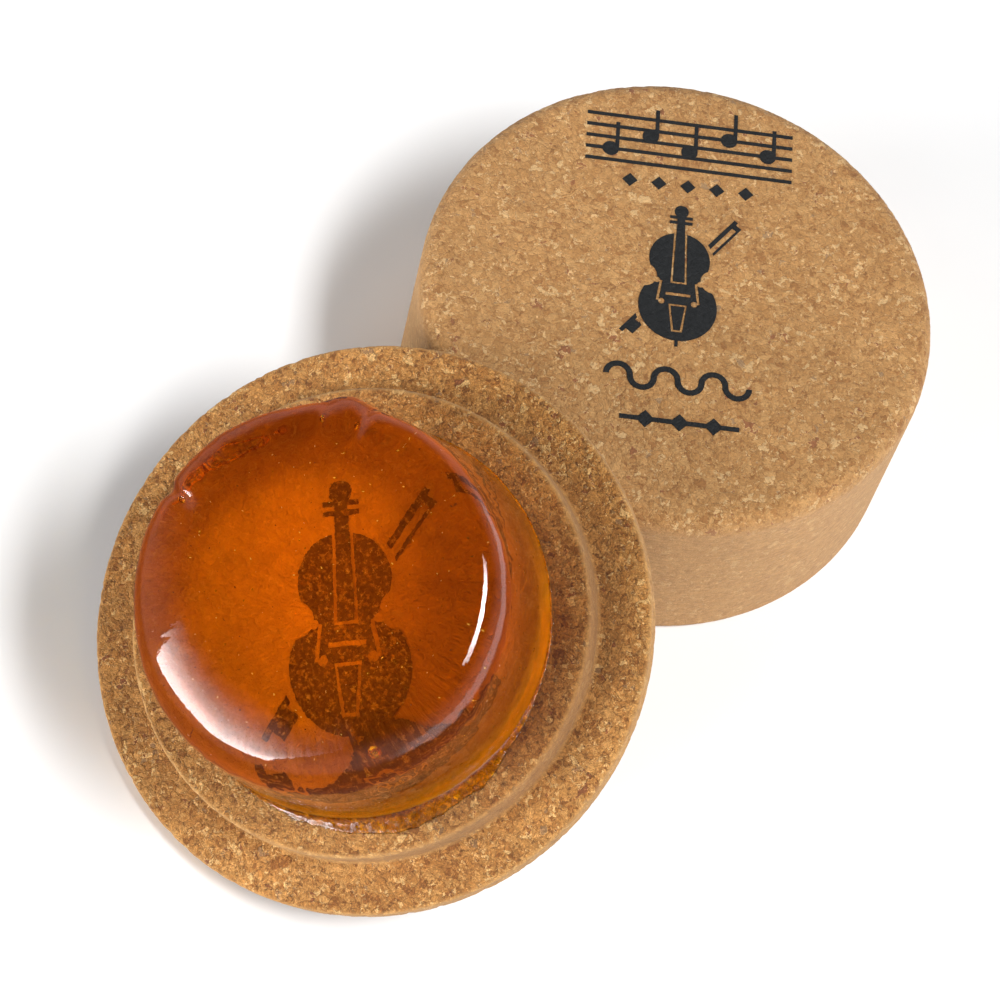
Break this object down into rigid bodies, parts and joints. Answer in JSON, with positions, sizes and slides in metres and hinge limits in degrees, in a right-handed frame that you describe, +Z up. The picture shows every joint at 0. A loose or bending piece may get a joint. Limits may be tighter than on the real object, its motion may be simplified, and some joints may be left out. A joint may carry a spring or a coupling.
{
  "type": "rosin cake",
  "caption": "Round amber rosin cake bonded to a flanged cork base, with a deep round cork lid that fits over its spigot; shown open, with the base leaning on the lid.",
  "frame": {"origin": "middle of the footprint of lid and base together, on the table", "axes": "+Z up, along the lid's axis from its open rim to its closed top; +Y from the base towards the lid, so the base leans back towards +Y; +X to the right when the cake is seen from the front"},
  "size_m": [0.0742, 0.112, 0.0458],
  "materials": {
    "cork_base": "matte",
    "cork_lid": "matte",
    "rosin": "gloss",
    "melted_rosin": "gloss",
    "base_ink": "matte",
    "lid_ink": "matte"
  },
  "bodies": {
    "lid": {"cork_lid": "cork_lid", "lid_upper_print": "lid_ink", "lid_motif_print": "lid_ink", "lid_lower_print": "lid_ink"},
    "base": {"cork_base": "cork_base", "base_print": "base_ink", "rosin_seat": "melted_rosin", "rosin_cake": "rosin"}
  },
  "joints": [
    {"name": "lift_off", "type": "slide", "parent": "lid", "child": "base", "axis": [0, -0.4602, 0.8878], "range_m": [0, 0.025]}
  ]
}
